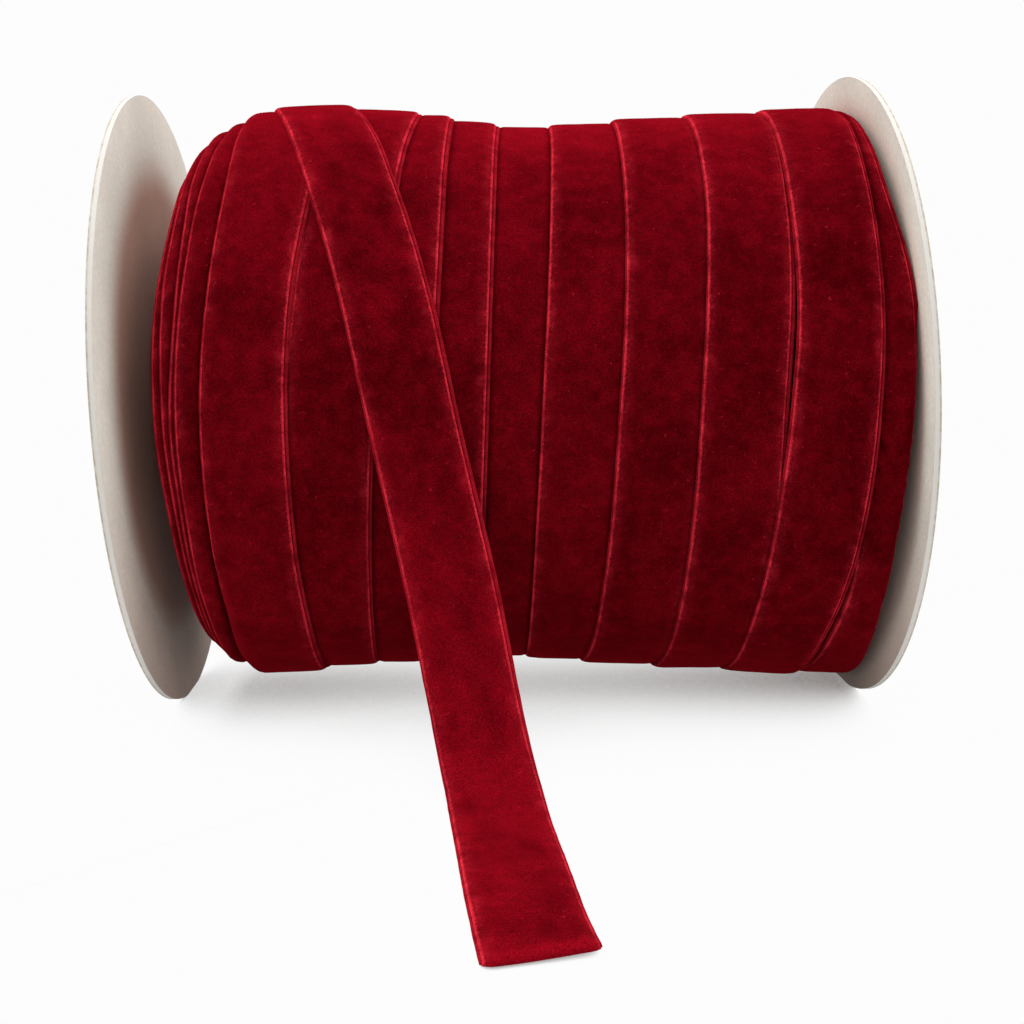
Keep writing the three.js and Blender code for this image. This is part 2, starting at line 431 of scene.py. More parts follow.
def dimple(place, angle):
    """Shallow unevenness of the pile's face, in millimetres."""
    a = math.radians(angle)
    at = Vector((place / DENT_SPREAD, 6 * math.cos(a), 6 * math.sin(a)))
    return WIDE_DENT * noise.noise(at) + SMALL_DENT * noise.noise(at * 3.1)


def spread_section(hems):
    """The section's places across, with the left and right hem drawn in or let out."""
    left, right = hems
    pile = (RIBBON - left - right) / (RIBBON - 2 * HEM)
    places = []
    for x, _ in SECTION:
        if x < HEM:
            places.append(x * left)
        elif x > RIBBON - HEM:
            places.append(RIBBON - (RIBBON - x) * right)
        else:
            places.append(left + (x - HEM) * pile)
    return places


def ribbon_grid(bm, rows, rests):
    """Lays a flat grid of the ribbon's section along the rows that rests gives."""
    columns = len(SECTION)
    uv = bm.loops.layers.uv.verify()
    shade, raised_and_painted_light = [
        bm.verts.layers.float.get(name) or bm.verts.layers.float.new(name)
        for name in ("shade", "raised_and_painted_light")
    ]
    made = bmesh.ops.create_grid(bm, x_segments=columns - 1, y_segments=rows, size=0.5)["verts"]
    flat = {}
    for vert in made:
        i = round((vert.co.x + 0.5) * (columns - 1))
        j = round((vert.co.y + 0.5) * rows)
        point, along, shadow, nap_and_painted_light = rests(i, j)
        flat[vert] = (SECTION[i][0] / RIBBON, along / RIBBON)
        vert[shade] = shadow
        vert[raised_and_painted_light] = nap_and_painted_light
        vert.co = point * MM
    faces = {face for vert in made for face in vert.link_faces}
    for face in faces:
        face.smooth = True
        for loop in face.loops:
            loop[uv].uv = flat[loop.vert]
    return made


def finish_piece(bm, name, material, thickness=0.0):
    """Makes an object of a bmesh. A single layer of faces is given its thickness."""
    mesh = bpy.data.meshes.new(name)
    bm.to_mesh(mesh)
    bm.free()
    mesh.materials.append(material)
    piece = bpy.data.objects.new(name, mesh)
    bpy.context.scene.collection.objects.link(piece)
    if thickness:
        wall = piece.modifiers.new("Underside", "SOLIDIFY")
        wall.thickness = thickness * MM
        wall.offset = -1
        wall.use_even_offset = False
    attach(piece, "root")
    return piece


def lay_turns(bm, edges, fray):
    """The wound turns, one long ribbon from the right board to the left."""
    turns = len(TURNS)
    rows = turns * TURN_STEPS
    across_at = spread_section(WOUND_HEMS)
    known = {}

    def rests(i, j):
        turn = turns * j / rows
        if j not in known:
            known[j] = edges.at(turn)
        left, right, low, high = known[j]
        angle = START_ANGLE - 360 * turn
        across, height = across_at[i], SECTION[i][1]
        along = TURN_LENGTH * turn
        span = right - left
        share = across / RIBBON
        side = -1 if share < 0.5 else 1
        place = left + span * share
        radius = low + (high - low) * share
        if turn < 1.0 and span < RIBBON:
            place, fold = curl_down(left, span, across)
            radius -= fold
        place += wander(along, 3 * side, fray) * abs(2 * share - 1)
        # painted light over the top and underneath, plus each turn's own brushing
        nap_and_painted_light = painted_light_at(angle) + smooth_at(range(turns), BRUSHED, turn - 0.5)
        shadow = 0.0
        for under, counts in depth_under(edges, turn, place):
            radius -= TURN_PRESS * counts * ramp(under, -1.2, 0.8)
            shadow = max(shadow, counts * ramp(under, -2.0, 0.2))
        beside, pressed = under_loose_end(place, angle)
        radius -= LOOSE_PRESS * pressed
        shadow = max(shadow, LOOSE_SHADE * beside)
        radius += height - PILE_HEIGHT + dimple(place, angle) - droop(turn, across)
        return winding_point(place, angle, radius), along, shadow, nap_and_painted_light

    ribbon_grid(bm, rows, rests)


def curl_down(left, span, across):
    """Place and drop of the outermost turn, whose right side is pressed down the board."""
    straight = max(span - BOARD_BEND, 0.0)
    beyond = across - straight
    if beyond <= 0:
        return left + across, 0.0
    turned = min(beyond / BOARD_BEND, math.pi / 2)
    place = left + straight + BOARD_BEND * math.sin(turned)
    fold = BOARD_BEND * (1 - math.cos(turned))
    fold += max(beyond - BOARD_BEND * math.pi / 2, 0.0)
    return place, fold


def droop(turn, across):
    """The last turn's left side is rounded down, and hangs in near its end."""
    low = near(turn, 9.86, 10.2, 0.14)
    hang = HANG * low * (1 - ramp(across, 0.0, 5.5)) ** 1.5
    return hang + shoulder(across) * ramp(turn, 9.0, 9.3) * (1 - low)


def shoulder(across):
    """How far a stacked ribbon's left side is rounded down."""
    return SHOULDER * (1 - ramp(across, 0.0, SHOULDER_WIDTH))


def painted_light_at(angle):
    """Painted light as a share of brushed pile: most over the top, a little underneath."""
    height = math.sin(math.radians(angle))
    return 0.42 * ramp(height, 0.6, 1.0) + 0.10 * ramp(-height, 0.1, 0.8)


def lay_ring(bm, rows_of_stack, level, fray):
    """One closed turn of the stack against the left board."""
    left, at_top, at_bottom = rows_of_stack[level]
    right = [place + RIBBON for place in left]
    edges = Edges([(left, right, at_top, at_bottom)], closed=True)
    over = rows_of_stack[level - 1][0] if level else TURNS["turn1"][0]
    covers = Edges([(over, over, (0, 0), (0, 0))], closed=True)
    across_at = spread_section(WOUND_HEMS)
    rows = TURN_STEPS
    # sets each turn's unevenness off from the others'
    seed = level + 1
    known = {}

    def rests(i, j):
        turn = (j % rows) / rows
        if j not in known:
            known[j] = edges.at(turn), covers.at(turn)[0]
        (first, last, low, high), cover_at = known[j]
        across, height = across_at[i], SECTION[i][1]
        share = across / RIBBON
        angle = START_ANGLE - 360 * turn
        a = math.radians(angle)
        place = first + (last - first) * share
        round_at = Vector((4 * math.cos(a), 4 * math.sin(a), seed))
        place += fray * 2.0 * noise.noise(round_at)
        radius = low + (high - low) * share + height - PILE_HEIGHT
        under = place - cover_at
        radius += dimple(place + 9 * seed, angle) - TURN_PRESS * ramp(under, -1.2, 0.8)
        radius -= shoulder(across)
        shadow = ramp(under, -2.0, 0.2)
        along = TURN_LENGTH * j / rows + 137 * seed
        # last value: painted light over the top and underneath
        return winding_point(place, angle, radius), along, shadow, painted_light_at(angle)

    verts = ribbon_grid(bm, rows, rests)
    bmesh.ops.remove_doubles(bm, verts=verts, dist=0.01 * MM)


# Layers under the turns that show: place and radius at the top and at the bottom
CORE = (
    (-100.9, 28.0, 28.0), (-86.5, 28.0, 28.0), (-85.5, 60.0, 70.0), (-80.0, 68.0, 76.0),
    (-70.0, 73.5, 79.5), (-57.0, 76.5, 81.0), (-40.0, 78.4, 78.8), (-20.0, 77.4, 77.4),
    (0.0, 75.2, 76.4), (15.0, 75.2, 76.6), (35.0, 76.8, 77.8), (55.0, 79.0, 79.2),
    (76.0, 80.6, 80.0), (90.0, 81.2, 80.2), (95.0, 79.0, 76.0), (97.0, 60.0, 60.0),
    (100.9, 60.0, 60.0),
)


def lay_core(bm):
    """The layers under the turns, as one closed body."""
    columns = len(CORE)
    rows = CORE_STEPS
    uv = bm.loops.layers.uv.verify()
    made = bmesh.ops.create_grid(bm, x_segments=columns - 1, y_segments=rows, size=0.5)["verts"]
    for vert in made:
        i = round((vert.co.x + 0.5) * (columns - 1))
        j = round((vert.co.y + 0.5) * rows) % rows
        angle = START_ANGLE - 360 * j / rows
        place, top, bottom = CORE[i]
        low = (1 - math.sin(math.radians(angle))) / 2
        vert.co = winding_point(place, angle, top + (bottom - top) * low) * MM
    bmesh.ops.remove_doubles(bm, verts=made, dist=0.01 * MM)
    made = [vert for vert in made if vert.is_valid]
    rim = [edge for edge in bm.edges if edge.is_boundary]
    bmesh.ops.holes_fill(bm, edges=rim, sides=0)
    for face in bm.faces:
        # the middle of the pile everywhere, since no hem shows here
        for loop in face.loops:
            loop[uv].uv = (0.5, loop.vert.co.x * 40)
    bmesh.ops.recalc_face_normals(bm, faces=bm.faces)


# Loose end

def cover_radius(edges, place, angle):
    """Radius of the uppermost turn at a place and an angle, of those it can cross."""
    share = share_of(angle) % 1
    best = 0.0
    for turn in range(list(TURNS).index("turn5"), len(TURNS)):
        left, right, low, high = edges.at(turn + share)
        if left - EDGE_MARGIN <= place <= right + EDGE_MARGIN:
            best = max(best, low + (high - low) * (place - left) / (right - left))
    for left, at_top, at_bottom in STACK.values():
        places = [share_of(a) for a in STATIONS]
        first = smooth_at(places, left, max(share, places[0]))
        if first <= place <= first + RIBBON:
            down = ramp(share, places[0], places[-1]) if share > 0.5 else 1 - ramp(share, 0, 0.5)
            best = max(best, at_top[0] + (at_bottom[0] - at_top[0]) * down)
    return best


def loose_stations(edges):
    """Middle of the loose end's underside and its level direction, station by station.

    Each station is laid on the radii found across it, and tilts and seats are evened
    out along the ribbon. Its first stretch rises from under the turns at the seam.
    """
    angles = [-angle for angle, _ in LAID]
    middles = [middle for _, middle in LAID]
    stations = []
    half = RIBBON / 2
    tilts, seats, places = [], [], []
    for step in range(LAID_STEPS + 1):
        angle = angles[0] + (angles[-1] - angles[0]) * step / LAID_STEPS
        middle = smooth_at(angles, middles, angle)
        spots = [half * (k / 8 - 1) for k in range(17)]
        radii = [cover_radius(edges, middle + u, -angle) for u in spots]
        tilt = (sum(radii[11:]) - sum(radii[:6])) / 6 / (half * 1.4)
        seat = max(r - tilt * u for r, u in zip(radii, spots))
        tilts.append(tilt)
        seats.append(seat)
        places.append((middle, -angle))
    for i, (middle, angle) in enumerate(places):
        window = range(max(i - 4, 0), min(i + 5, len(places)))
        tilt = sum(tilts[k] for k in window) / len(window)
        seat = sum(seats[k] for k in window) / len(window) - LOOSE_PRESS
        rise = ramp(SEAM_ANGLE - angle, -2, 14)
        radius = seat - SEAM_TUCK * (1 - rise)
        centre = winding_point(middle, angle, radius)
        level = winding_point(middle + 1, angle, radius + tilt) - centre
        stations.append((centre, level.normalized()))
    return stations


def free_stations(laid):
    """The free stretch: hangs from the winding's front and lies out on the surface."""
    route = [laid[-7][0], laid[-1][0]]
    route += [Vector((x, y + SETBACK, z)) for x, y, z in FREE]
    reach = [0.0]
    for a, b in zip(route, route[1:]):
        reach.append(reach[-1] + (b - a).length)
    stations = []
    free = reach[-1] - reach[1]
    last = END_ROWS[0]
    even = [last + (free - last) * step / FREE_STEPS for step in range(1, FREE_STEPS)]
    for left in even[::-1] + list(END_ROWS):
        s = reach[-1] - left
        centre = Vector([smooth_at(reach, [p[k] for p in route], s) for k in range(3)])
        turned = ramp(free - left, 0, free / 2)
        level = laid[-1][1].lerp(Vector((1, 0, 0)), turned)
        stations.append((centre, level.normalized()))
    return stations


def lay_loose_end(bm, edges, fray):
    """The loose end as one strip, from the seam to the cut. Gives its length."""
    laid = loose_stations(edges)
    stations = laid + free_stations(laid)
    rows = len(stations) - 1
    reach = [0.0]
    for a, b in zip(stations, stations[1:]):
        reach.append(reach[-1] + (b[0] - a[0]).length)
    total = reach[-1]
    laid_length = reach[len(laid) - 1]
    frames = []
    for j, (centre, level) in enumerate(stations):
        before = stations[max(j - 1, 0)][0]
        after = stations[min(j + 1, rows)][0]
        along = (after - before).normalized()
        face = level.cross(along).normalized() * -1
        across = face.cross(along)
        frames.append((centre, along, across, face))

    def rests(i, j):
        centre, along, across, face = frames[j]
        left = total - reach[j]
        flat = ramp(-left, -HEM_CHANGE[1], -HEM_CHANGE[0])
        hems = [a + (b - a) * flat for a, b in zip(WOUND_HEMS, FLAT_HEMS)]
        u = spread_section(hems)[i] - RIBBON / 2
        rounded = math.sqrt(1 - (1 - min(left, CUT_ROUND) / CUT_ROUND) ** 2)
        height = CUT_HEIGHT + (SECTION[i][1] - CUT_HEIGHT) * (0.25 + 0.75 * rounded)
        u += wander(reach[j], 5 if u > 0 else 9, fray) * abs(u) * 2 / RIBBON
        lift = LIFT * ramp(u, -6, 14) * (1 - ramp(left, 0, LIFT_REACH))
        swell = 0.12 * noise.noise(Vector((u / 9, reach[j] / 13, 2.0)))
        point = centre + across * u + face * (height + swell * ramp(height, 0.5, 1.3))
        slant = -u / RIBBON * SLANT * (1 - ramp(left, 0, SLANT_REACH))
        beyond = min(max(abs(u) - RIBBON / 2 + CORNER, 0.0), CORNER)
        corner = CORNER - math.sqrt(CORNER**2 - beyond**2)
        corner *= 1 - min(left / (3 * CORNER), 1)
        point += along * (slant - corner)
        # the flat stretch is squeezed a little, and stays above the surface
        point.z = max(point.z + lift, 0.02 + 0.4 * height)
        # brushed pile and painted light along the loose end, plus painted light over the top while
        # on the winding
        raised_and_painted_light = smooth_at([at for at, _ in LOOSE_NAP_AND_PAINTED_LIGHT], [nap_and_painted_light for _, nap_and_painted_light in LOOSE_NAP_AND_PAINTED_LIGHT], left)
        if reach[j] < laid_length:
            raised_and_painted_light += painted_light_at(SEAM_ANGLE - SEAM_ANGLE * reach[j] / laid_length)
        # patches of pile rubbed the other way beside the edges, and wider ones all over
        patch = noise.noise(Vector((u / 3.1, reach[j] / 6.3, 4.0)))
        raised_and_painted_light += 0.9 * max(patch, 0.0) * ramp(abs(u), 6.0, 10.0)
        raised_and_painted_light += 0.3 * noise.noise(Vector((u / 6.5, reach[j] / 9, 8.0)))
        return point, 30 + reach[j], 0.0, raised_and_painted_light

    ribbon_grid(bm, rows, rests)
    return total


# Materials

def add_node(tree, kind, inputs=(), **settings):
    """A node with its settings, and its inputs either linked or given as values."""
    node = tree.nodes.new("ShaderNode" + kind)
    for name, value in settings.items():
        setattr(node, name, value)
    for key, value in dict(inputs).items():
        if isinstance(value, bpy.types.NodeSocket):
            tree.links.new(value, node.inputs[key])
        else:
            node.inputs[key].default_value = value
    return node


def maths(tree, operation, first, second=0.0, clamp=False):
    """Result of a Math node."""
    node = add_node(tree, "Math", {0: first, 1: second}, operation=operation)
    node.use_clamp = clamp
    return node.outputs[0]


def band(tree, value, low, high, to_low=0.0, to_high=1.0):
    """Smooth step of a value from low to high."""
    node = add_node(
        tree, "MapRange",
        {"Value": value, "From Min": low, "From Max": high, "To Min": to_low, "To Max": to_high},
        interpolation_type="SMOOTHSTEP",
    )
    return node.outputs["Result"]


def mix(tree, factor, first, second, blend="MIX"):
    """Result of a colour Mix node."""
    node = add_node(tree, "Mix", {"Factor": factor}, data_type="RGBA", blend_type=blend)
    for key, value in ((6, first), (7, second)):
        if isinstance(value, bpy.types.NodeSocket):
            tree.links.new(value, node.inputs[key])
        else:
            node.inputs[key].default_value = value
    return node.outputs[2]


def mottle(tree, vector, scale, detail=2.0, rough=0.5):
    """Soft uneven pattern between 0 and 1."""
    return add_node(
        tree, "TexNoise",
        {"Vector": vector, "Scale": scale, "Detail": detail, "Roughness": rough},
    ).outputs["Fac"]


def new_group(name, wanted, given):
    """An empty node group with named inputs and outputs."""
    group = bpy.data.node_groups.new(name, "ShaderNodeTree")
    for socket, kind in wanted:
        group.interface.new_socket(socket, in_out="INPUT", socket_type="NodeSocket" + kind)
    for socket, kind in given:
        group.interface.new_socket(socket, in_out="OUTPUT", socket_type="NodeSocket" + kind)
    return group, group.nodes.new("NodeGroupInput"), group.nodes.new("NodeGroupOutput")


def velvet_group():
    """Cut pile: bruised pile carrying painted light, fibre grain, painted highlights along the
    pile edges and hems, painted shade in the grooves and beside covering ribbons, and thin woven
    hems.

    The texture coordinate across is the place across the section, in millimetres, so
    the hems always take its first and last HEM millimetres.
    """
    if "velvet pile" in bpy.data.node_groups:
        return bpy.data.node_groups["velvet pile"]
    tree, source, target = new_group(
        "velvet pile",
        (("Deep", "Color"), ("Bright", "Color"), ("Edge", "Color"), ("Light", "Float")),
        (("Color", "Color"), ("Height", "Float"), ("Roughness", "Float")),
    )
    uv = add_node(tree, "UVMap").outputs["UV"]
    spread = add_node(tree, "SeparateXYZ", {"Vector": uv})
    across = maths(tree, "MULTIPLY", spread.outputs["X"], RIBBON)
    solid = add_node(tree, "TexCoord").outputs["Object"]
    fine = VELVET_NOISE
    bruise = mottle(tree, solid, fine["bruise"], 3.0, 0.5)
    cloud = mottle(tree, solid, fine["cloud"], 3.0, 0.6)
    grain = mottle(tree, solid, fine["grain"], 3.0, 0.75)
    # brushed pile with painted light, given per vertex by the mesh
    raised_and_painted_light = add_node(tree, "Attribute", attribute_name="raised_and_painted_light").outputs["Fac"]
    nap_and_painted_light = maths(tree, "ADD", band(tree, bruise, 0.34, 0.68, 0.03, 0.25), raised_and_painted_light)
    nap_and_painted_light = maths(tree, "ADD", nap_and_painted_light, band(tree, cloud, 0.38, 0.66, 0.0, 0.20))
    scuff = band(tree, mottle(tree, solid, fine["scuff"], 3.0, 0.6), 0.36, 0.64, -0.05, 0.05)
    nap_and_painted_light = maths(tree, "ADD", nap_and_painted_light, scuff, True)
    body = mix(tree, nap_and_painted_light, source.outputs["Deep"], source.outputs["Bright"])
    shade = band(tree, grain, 0.3, 0.7, 0.5, 1.6)
    body = mix(tree, 1.0, body, shade, "MULTIPLY")
    # distance from the pile's nearer edge, a painted highlight as a fuzzy line of tips along it,
    # tips splayed and rubbed beside it, and single frosted ones
    from_left = maths(tree, "SUBTRACT", across, HEM)
    from_right = maths(tree, "SUBTRACT", RIBBON - HEM, across)
    inside = maths(tree, "MINIMUM", from_left, from_right)
    ragged = maths(tree, "SUBTRACT", mottle(tree, solid, fine["ragged"], 3.0, 0.7), 0.5)
    inside = maths(tree, "ADD", inside, maths(tree, "MULTIPLY", ragged, 0.8))
    line = band(tree, inside, 0.14, 0.6, 0.9, 0.0)
    splay = band(tree, inside, 0.3, 3.2, 0.06, 0.0)
    rubbed = band(tree, mottle(tree, solid, fine["rubbed"], 3.0, 0.6), 0.50, 0.66)
    rubbed = maths(tree, "MULTIPLY", rubbed, band(tree, inside, 0.4, 3.8, 0.11, 0.0))
    splay = maths(tree, "ADD", splay, rubbed)
    patchy = band(tree, mottle(tree, solid, fine["patchy"], 4.0, 0.7), 0.32, 0.66, 0.3, 1.1)
    edge_side = maths(tree, "ABSOLUTE", maths(tree, "SUBTRACT", across, RIBBON / 2))
    hem_at = RIBBON / 2 - HEM
    woven = band(tree, edge_side, hem_at + 0.05, hem_at + 0.25)
    on_pile = maths(tree, "SUBTRACT", 1.0, woven)
    frosted = band(tree, mottle(tree, solid, fine["frosted"], 2.0, 0.7), 0.50, 0.68)
    frosted = maths(tree, "MULTIPLY", frosted, band(tree, inside, 0.2, 2.0, 0.24, 0.0))
    fuzz_and_painted_highlight = maths(tree, "ADD", maths(tree, "ADD", line, splay), frosted)
    tips = maths(tree, "MULTIPLY", fuzz_and_painted_highlight, patchy)
    body = mix(tree, maths(tree, "MULTIPLY", tips, on_pile), body, source.outputs["Edge"])
    # painted shade in the groove between pile and hem, and the hem's fine cross threads with
    # a painted highlight towards its outer edge
    painted_groove_shade = maths(tree, "ABSOLUTE", maths(tree, "SUBTRACT", edge_side, hem_at + 0.14))
    painted_groove_shade = band(tree, painted_groove_shade, 0.12, 0.3, 0.12, 1.0)
    outermost = band(tree, edge_side, hem_at + 0.45, hem_at + 0.75, 0.16, 1.0)
    pitch = 2 * math.pi * HEM_THREADS
    threads = maths(tree, "SINE", maths(tree, "MULTIPLY", spread.outputs["Y"], pitch))
    threads = band(tree, threads, -1.0, 1.0, 0.16, 0.34)
    woven_light = maths(tree, "MULTIPLY", maths(tree, "MULTIPLY", woven, threads), outermost)
    woven_light = maths(tree, "MULTIPLY", woven_light, patchy)
    body = mix(tree, woven_light, body, source.outputs["Edge"])
    body = mix(tree, 1.0, body, painted_groove_shade, "MULTIPLY")
    # short curled fibres that catch the light
    curl = maths(tree, "SUBTRACT", mottle(tree, solid, fine["curl"], 1.0), 0.5)
    curl = maths(tree, "ABSOLUTE", curl)
    curl = band(tree, curl, 0.006, 0.03, 1.0, 0.0)
    rare = band(tree, mottle(tree, solid, fine["rare"], 1.0), 0.66, 0.74)
    flecks = maths(tree, "MULTIPLY", maths(tree, "MULTIPLY", curl, rare), 0.22)
    body = mix(tree, flecks, body, source.outputs["Edge"])
    shadow = add_node(tree, "Attribute", attribute_name="shade").outputs["Fac"]
    light = band(tree, shadow, 0.0, 1.0, 1.0, 0.3)
    light = maths(tree, "MULTIPLY", light, source.outputs["Light"])
    body = mix(tree, 1.0, body, light, "MULTIPLY")
    tree.links.new(body, target.inputs["Color"])
    fur = maths(tree, "MULTIPLY", grain, 0.5)
    height = maths(tree, "ADD", fur, maths(tree, "MULTIPLY", cloud, 0.8))
    tree.links.new(maths(tree, "MULTIPLY", height, on_pile), target.inputs["Height"])
    tree.links.new(band(tree, nap_and_painted_light, 0.0, 1.0, 0.95, 0.8), target.inputs["Roughness"])
    return tree


def new_material(name):
    """A material with its node tree and its shader."""
    material = bpy.data.materials.new(name)
    material.use_nodes = True
    tree = material.node_tree
    return material, tree, tree.nodes["Principled BSDF"]


def velvet_material(name, light=1.0):
    """Crimson velvet, and how much light gets to it."""
    values = bpy.context.scene.ribbon_velvet
    material, tree, shader = new_material(name)
    group = add_node(tree, "Group", node_tree=velvet_group())
    group.inputs["Deep"].default_value = values.deep
    group.inputs["Bright"].default_value = values.bright
    group.inputs["Edge"].default_value = values.edge
    group.inputs["Light"].default_value = light
    bump = add_node(
        tree, "Bump",
        {"Height": group.outputs["Height"], "Strength": 0.45, "Distance": 0.0006},
    )
    tree.links.new(group.outputs["Color"], shader.inputs["Base Color"])
    tree.links.new(group.outputs["Roughness"], shader.inputs["Roughness"])
    tree.links.new(bump.outputs["Normal"], shader.inputs["Normal"])
    shader.inputs["Specular IOR Level"].default_value = 0.0
    shader.inputs["Sheen Weight"].default_value = 0.42 * light
    shader.inputs["Sheen Roughness"].default_value = 0.26
    shader.inputs["Sheen Tint"].default_value = (1.0, 0.016, 0.036, 1.0)
    return material


def board_material(node):
    """Paper-faced board: worn face, painted shade towards the winding, darker and browner towards
    the bottom, pale cut rim.
    """
    values = bpy.context.scene.ribbon_boards
    material, tree, shader = new_material(node + "_paper")
    left = node == "board_left"
    height = BOARD_HEIGHTS[node]
    centre = (0.0, -SETBACK * MM, -height * MM)
    solid = add_node(tree, "TexCoord").outputs["Object"]
    spot = add_node(tree, "VectorMath", {0: solid, 1: centre}, operation="ADD").outputs[0]
    parts = add_node(tree, "SeparateXYZ", {"Vector": spot})
    flat = add_node(tree, "CombineXYZ", {"Y": parts.outputs["Y"], "Z": parts.outputs["Z"]})
    reach = add_node(tree, "VectorMath", {0: flat.outputs[0]}, operation="LENGTH").outputs["Value"]
    lean = maths(tree, "MULTIPLY", parts.outputs["Z"], LEAN)
    depth = maths(tree, "ADD", parts.outputs["X"], lean)
    middle = (SPACING / 2 + BOARD_THICK / 2) * MM * (-1 if left else 1)
    depth = maths(tree, "SUBTRACT", depth, middle)
    grain = mottle(tree, solid, PAPER_NOISE["grain"], 3.0, 0.65)
    cloud = mottle(tree, solid, PAPER_NOISE["cloud"], 3.0, 0.5)
    # painted shade of the winding on the inner face, and darker and browner towards the bottom
    start, stop, strength = BOARD_SHADE[node]
    shaded = maths(tree, "POWER", band(tree, reach, start, stop, 1.0, 0.0), 1.4)
    shaded = maths(tree, "MULTIPLY", shaded, strength)
    lower = band(tree, parts.outputs["Z"], -0.088, 0.0, 0.42, 0.0)
    outward = maths(tree, "MULTIPLY", depth, -1.0 if left else 1.0)
    on_inner = band(tree, outward, -0.0006, 0.0, 1.0, 0.0)
    shaded = maths(tree, "MULTIPLY", maths(tree, "MAXIMUM", shaded, lower), on_inner)
    paper = mix(tree, shaded, values.face, values.shade)
    paper = mix(tree, 1.0, paper, band(tree, grain, 0.2, 0.8, 0.9, 1.08), "MULTIPLY")
    paper = mix(tree, 1.0, paper, band(tree, cloud, 0.3, 0.7, 0.95, 1.04), "MULTIPLY")
    outer = (height + FOOT_DEPTH) * MM
    on_rim = band(tree, reach, outer - 0.00014, outer - 0.00006)
    finish = mix(tree, on_rim, paper, values.rim)
    line = band(tree, outward, 0.0002, 0.00045)
    torn = band(tree, mottle(tree, solid, PAPER_NOISE["torn"], 3.0, 0.7), 0.36, 0.62, 0.35, 1.0)
    line = maths(tree, "MULTIPLY", maths(tree, "MULTIPLY", line, torn), on_rim)
    finish = mix(tree, maths(tree, "MULTIPLY", line, 0.85), finish, values.line)
    bump = add_node(tree, "Bump", {"Height": grain, "Strength": 0.35, "Distance": 0.0002})
    tree.links.new(finish, shader.inputs["Base Color"])
    tree.links.new(band(tree, grain, 0.2, 0.8, 0.72, 0.9), shader.inputs["Roughness"])
    tree.links.new(bump.outputs["Normal"], shader.inputs["Normal"])
    shader.inputs["Specular IOR Level"].default_value = 0.3
    return material


# Stage

def area_light(name, power):
    """One of the soft rectangular lights."""
    place, aim, size = LIGHTS[name]
    data = bpy.data.lights.new(name, "AREA")
    data.shape = "RECTANGLE"
    data.size, data.size_y = size
    data.energy = power
    light = bpy.data.objects.new(name, data)
    bpy.context.scene.collection.objects.link(light)
    light.location = place
    light.rotation_euler = (Vector(aim) - Vector(place)).to_track_quat("-Z", "Y").to_euler()


def stage_floor(material):
    """A wide pale floor."""
    bm = bmesh.new()
    bmesh.ops.create_grid(bm, x_segments=1, y_segments=1, size=FLOOR_HALF)
    mesh = bpy.data.meshes.new("floor")
    bm.to_mesh(mesh)
    bm.free()
    mesh.materials.append(material)
    floor = bpy.data.objects.new("floor", mesh)
    bpy.context.scene.collection.objects.link(floor)


def floor_material(tone):
    """White sweep: pale grey to the light, evenly white to the eye with soft contact shade."""
    material, tree, shader = new_material("floor_paper")
    shader.inputs["Base Color"].default_value = tone
    shader.inputs["Roughness"].default_value = 0.95
    shader.inputs["Specular IOR Level"].default_value = 0.0
    around = add_node(tree, "AmbientOcclusion", {"Distance": CONTACT_REACH}, samples=20)
    closed = maths(tree, "SUBTRACT", 1.0, around.outputs["AO"])
    contact = maths(tree, "POWER", closed, 7.0)
    contact = maths(tree, "MULTIPLY", contact, 0.94, True)
    seen_tone = mix(tree, contact, (0.98, 0.98, 0.98, 1.0), (0.05, 0.02, 0.01, 1.0))
    glow = add_node(tree, "Emission", {"Color": seen_tone, "Strength": 1.0})
    seen = add_node(tree, "LightPath").outputs["Is Camera Ray"]
    both = add_node(tree, "MixShader", {0: seen, 1: shader.outputs[0], 2: glow.outputs[0]})
    tree.links.new(both.outputs[0], tree.nodes["Material Output"].inputs["Surface"])
    return material


def studio_world(strength):
    """Even white surroundings, brighter to the eye than to the object."""
    world = bpy.data.worlds.new("studio")
    world.use_nodes = True
    tree = world.node_tree
    soft = tree.nodes["Background"]
    soft.inputs["Color"].default_value = (1, 1, 1, 1)
    soft.inputs["Strength"].default_value = strength
    white = add_node(tree, "Background", {"Color": (0.98, 0.98, 0.98, 1.0), "Strength": 1.0})
    seen = add_node(tree, "LightPath").outputs["Is Camera Ray"]
    both = add_node(tree, "MixShader", {0: seen, 1: soft.outputs[0], 2: white.outputs[0]})
    tree.links.new(both.outputs[0], tree.nodes["World Output"].inputs["Surface"])
    return world


def place_camera():
    """The camera, level but for a small roll."""
    yaw, pitch, roll = CAMERA["yaw"], CAMERA["pitch"], CAMERA["roll"]
    ahead = Vector((
        -math.sin(yaw) * math.cos(pitch),
        math.cos(yaw) * math.cos(pitch),
        -math.sin(pitch),
    ))
    level = Vector((math.cos(yaw), math.sin(yaw), 0))
    upright = level.cross(ahead)
    right = level * math.cos(roll) + upright * math.sin(roll)
    up = upright * math.cos(roll) - level * math.sin(roll)
    data = bpy.data.cameras.new("camera")
    data.sensor_width = SENSOR
    data.lens = CAMERA["pixels"] * SENSOR / IMAGE_SIDE
    data.clip_start = 0.01
    camera = bpy.data.objects.new("camera", data)
    bpy.context.scene.collection.objects.link(camera)
    turn = Matrix((right, up, -ahead)).transposed().to_4x4()
    camera.matrix_world = Matrix.Translation(CAMERA["place"]) @ turn
    bpy.context.scene.camera = camera


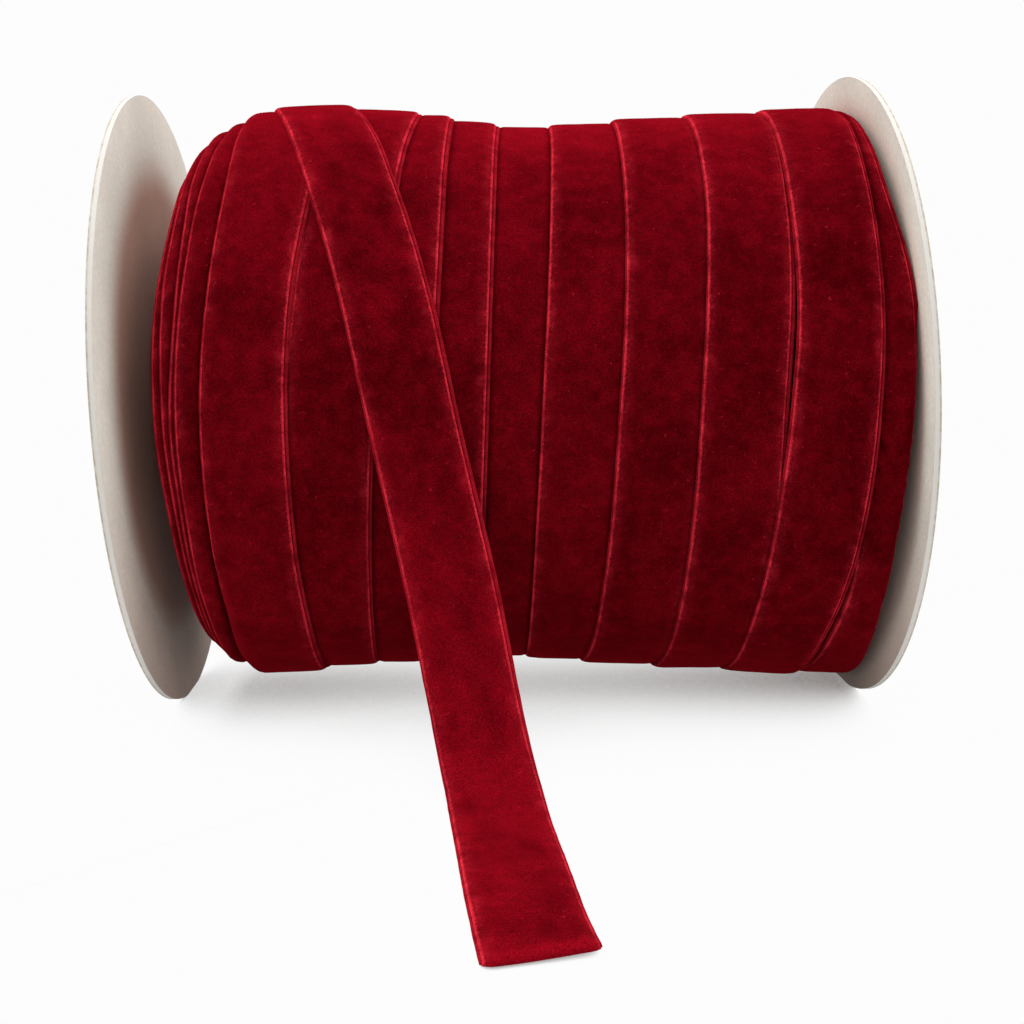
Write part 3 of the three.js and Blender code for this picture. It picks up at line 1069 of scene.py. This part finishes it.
class RIBBON_OT_stage(bpy.types.Operator):
    """Floor, soft light and the camera"""

    bl_idname = "ribbon.stage"
    bl_label = "Set the stage"

    def execute(self, context):
        values = context.scene.ribbon_stage
        context.scene.view_settings.view_transform = "Standard"
        stage_floor(floor_material(values.floor))
        context.scene.world = studio_world(values.surround)
        area_light("overhead", values.overhead)
        area_light("front", values.front)
        place_camera()
        return {"FINISHED"}


class RIBBON_OT_boards(bpy.types.Operator):
    """Paper on both boards of the spool"""

    bl_idname = "ribbon.boards"
    bl_label = "Paper the boards"

    def execute(self, context):
        for name in BOARD_HEIGHTS:
            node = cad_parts[name]
            node.data.materials.clear()
            node.data.materials.append(board_material(name))
        return {"FINISHED"}


class RIBBON_OT_winding(bpy.types.Operator):
    """Wound turns of ribbon, the stack on the left and the layers beneath"""

    bl_idname = "ribbon.winding"
    bl_label = "Wind the ribbon"

    def execute(self, context):
        fray = context.scene.ribbon_velvet.fray / MM
        velvet = velvet_material("wound_velvet")
        bm = bmesh.new()
        lay_turns(bm, wound_edges(), fray)
        turns = finish_piece(bm, "wound_turns", velvet, thickness=UNDERSIDE)
        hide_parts("wound_ribbon")
        bm = bmesh.new()
        for level in range(len(STACK)):
            lay_ring(bm, list(STACK.values()), level, fray)
        stack = finish_piece(bm, "left_stack", velvet, thickness=UNDERSIDE)
        bm = bmesh.new()
        lay_core(bm)
        shaded_velvet = velvet_material("under_velvet", UNDER_LIGHT)
        core = finish_piece(bm, "lower_layers", shaded_velvet)
        return {"FINISHED"}


class RIBBON_OT_loose_end(bpy.types.Operator):
    """The loose end over the winding and out on the surface"""

    bl_idname = "ribbon.loose_end"
    bl_label = "Lay out the loose end"

    def execute(self, context):
        fray = context.scene.ribbon_velvet.fray / MM
        bm = bmesh.new()
        total = lay_loose_end(bm, wound_edges(), fray)
        velvet = velvet_material("loose_velvet")
        piece = finish_piece(bm, "loose_ribbon", velvet, thickness=UNDERSIDE)
        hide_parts("loose_end")
        return {"FINISHED"}


class RIBBON_PT_panel(bpy.types.Panel):
    """Lists the pieces of the ribbon roll"""

    bl_idname = "RIBBON_PT_panel"
    bl_label = "Velvet ribbon roll"
    bl_space_type = "VIEW_3D"
    bl_region_type = "UI"
    bl_category = "Ribbon"

    def draw(self, context):
        layout = self.layout
        for operator in OPERATORS:
            layout.operator(operator.bl_idname)
        for group in ("ribbon_velvet", "ribbon_boards", "ribbon_stage"):
            values = getattr(context.scene, group)
            box = layout.box()
            for name in values.__annotations__:
                box.prop(values, name)


GROUPS = {
    "ribbon_velvet": RIBBON_PG_velvet,
    "ribbon_boards": RIBBON_PG_boards,
    "ribbon_stage": RIBBON_PG_stage,
}
OPERATORS = (RIBBON_OT_stage, RIBBON_OT_boards, RIBBON_OT_winding, RIBBON_OT_loose_end)


def register():
    """Registers the property groups, the operators and the panel."""
    for name, group in GROUPS.items():
        bpy.utils.register_class(group)
        setattr(bpy.types.Scene, name, bpy.props.PointerProperty(type=group))
    for item in (*OPERATORS, RIBBON_PT_panel):
        bpy.utils.register_class(item)


def unregister():
    """Takes them out again."""
    for item in reversed((*OPERATORS, RIBBON_PT_panel)):
        bpy.utils.unregister_class(item)
    for name, group in GROUPS.items():
        delattr(bpy.types.Scene, name)
        bpy.utils.unregister_class(group)


def main():
    """Builds the roll and its stage."""
    register()
    bpy.ops.ribbon.stage()
    bpy.ops.ribbon.boards()
    bpy.ops.ribbon.winding()
    bpy.ops.ribbon.loose_end()


if __name__ == "__main__":
    main()
